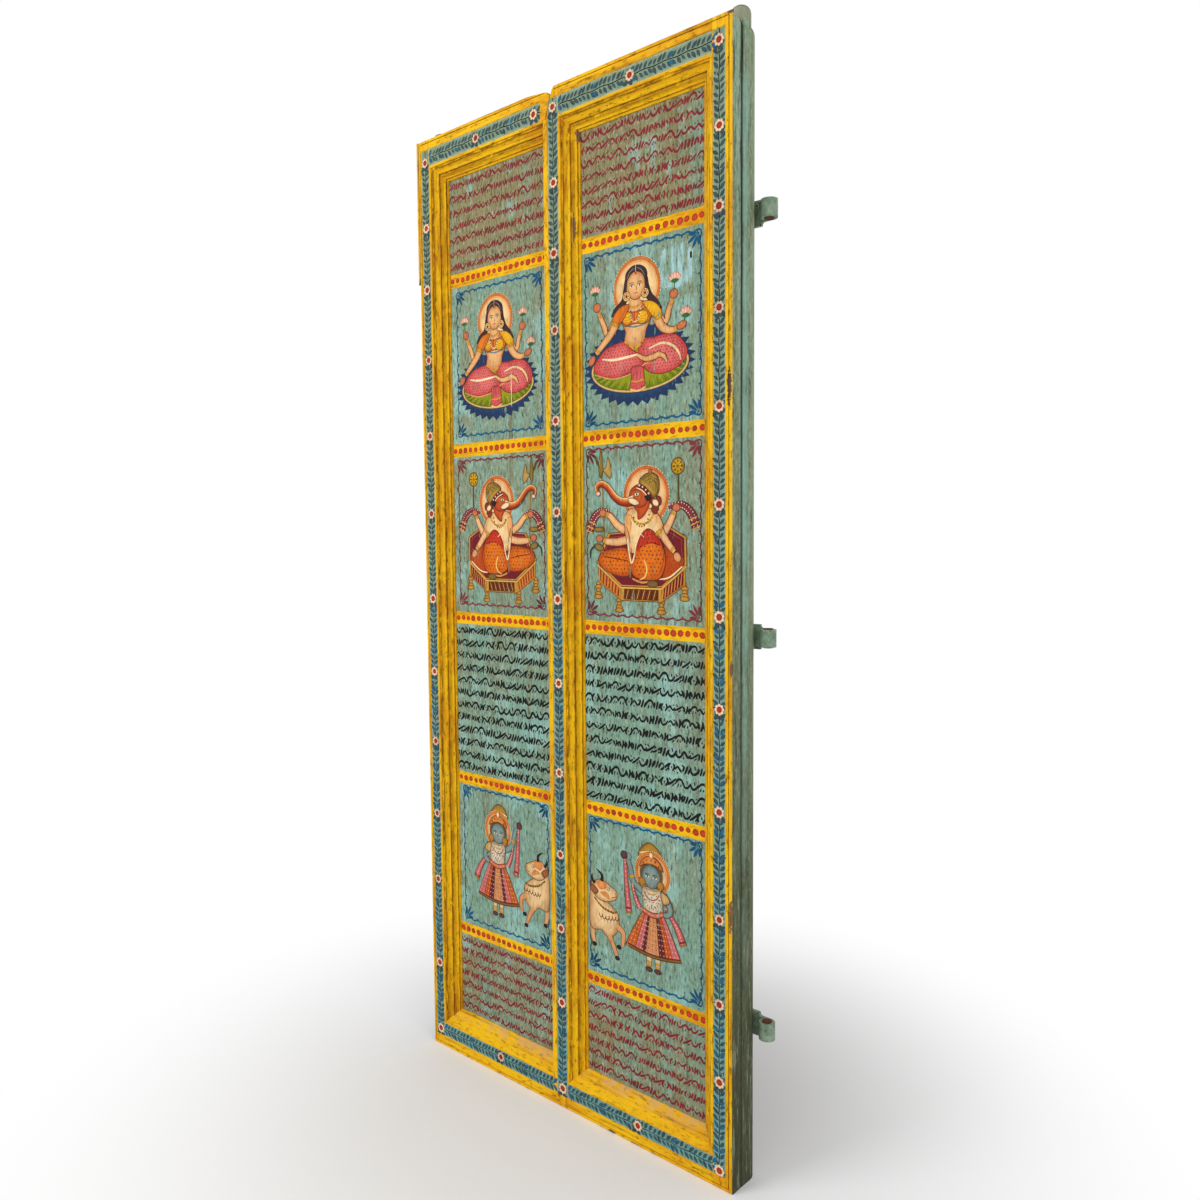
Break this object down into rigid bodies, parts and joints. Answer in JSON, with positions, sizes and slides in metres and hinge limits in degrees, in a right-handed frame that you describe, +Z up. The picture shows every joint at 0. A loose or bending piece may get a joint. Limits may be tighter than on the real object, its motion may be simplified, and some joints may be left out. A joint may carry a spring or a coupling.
{
  "type": "painted double door",
  "caption": "Pair of tall panelled wooden door leaves with painted faces, stepped yellow mouldings and iron strap eyes that turn on upright pins.",
  "frame": {"origin": "centre of the overall box at the leaves' bottom edges", "axes": "+X to the right across the pair as seen from the painted face, +Y from the painted face to the back, +Z up"},
  "size_m": [0.82, 0.083, 1.855],
  "materials": {
    "painted_frame": "worn ochre yellow paint with a blue-green band of painted leaves and flowers",
    "yellow_moulding": "worn ochre yellow paint, dark in the grooves",
    "painted_board": "worn verdigris paint with painted pictures",
    "green_post": "faded grey-green paint",
    "back_wood": "bare aged wood",
    "painted_iron": "chipped green paint over forged iron",
    "nail_iron": "dark rusted iron",
    "rusty_pin": "brown rust"
  },
  "bodies": {
    "hinge_pins": {"hinge_pins_left": "rusty_pin", "hinge_pins_right": "rusty_pin"},
    "left_leaf": {"left_back_ledge_bottom": "back_wood", "left_back_ledge_middle": "back_wood", "left_back_ledge_top": "back_wood", "left_back_meeting_batten": "back_wood", "left_bottom_rail": "painted_frame", "left_edge_strip": "yellow_moulding", "left_hinge_post": "green_post", "left_hinge_stile": "painted_frame", "left_ledge_nails": "nail_iron", "left_moulding_bottom": "yellow_moulding", "left_moulding_hinge_side": "yellow_moulding", "left_moulding_top": "yellow_moulding", "left_panel_board": "painted_board", "left_strap_eye_bottom": "painted_iron", "left_strap_eye_middle": "painted_iron", "left_strap_eye_top": "painted_iron", "left_strap_nails": "nail_iron", "left_top_rail": "painted_frame"},
    "right_leaf": {"right_back_ledge_bottom": "back_wood", "right_back_ledge_middle": "back_wood", "right_back_ledge_top": "back_wood", "right_back_meeting_batten": "back_wood", "right_bottom_rail": "painted_frame", "right_hinge_post": "green_post", "right_hinge_stile": "painted_frame", "right_ledge_nails": "nail_iron", "right_meeting_stile": "painted_frame", "right_moulding_bottom": "yellow_moulding", "right_moulding_hinge_side": "yellow_moulding", "right_moulding_meeting_side": "yellow_moulding", "right_moulding_top": "yellow_moulding", "right_panel_board": "painted_board", "right_strap_eye_bottom": "painted_iron", "right_strap_eye_middle": "painted_iron", "right_strap_eye_top": "painted_iron", "right_strap_nails": "nail_iron", "right_top_rail": "painted_frame"}
  },
  "joints": [
    {"name": "left_leaf_swing", "type": "hinge", "parent": "hinge_pins", "child": "left_leaf", "pos_m": [-0.397, 0.0255, 0], "axis": [0, 0, -1], "range_deg": [0, 95]},
    {"name": "right_leaf_swing", "type": "hinge", "parent": "hinge_pins", "child": "right_leaf", "pos_m": [0.397, 0.0255, 0], "axis": [0, 0, 1], "range_deg": [0, 95]}
  ]
}
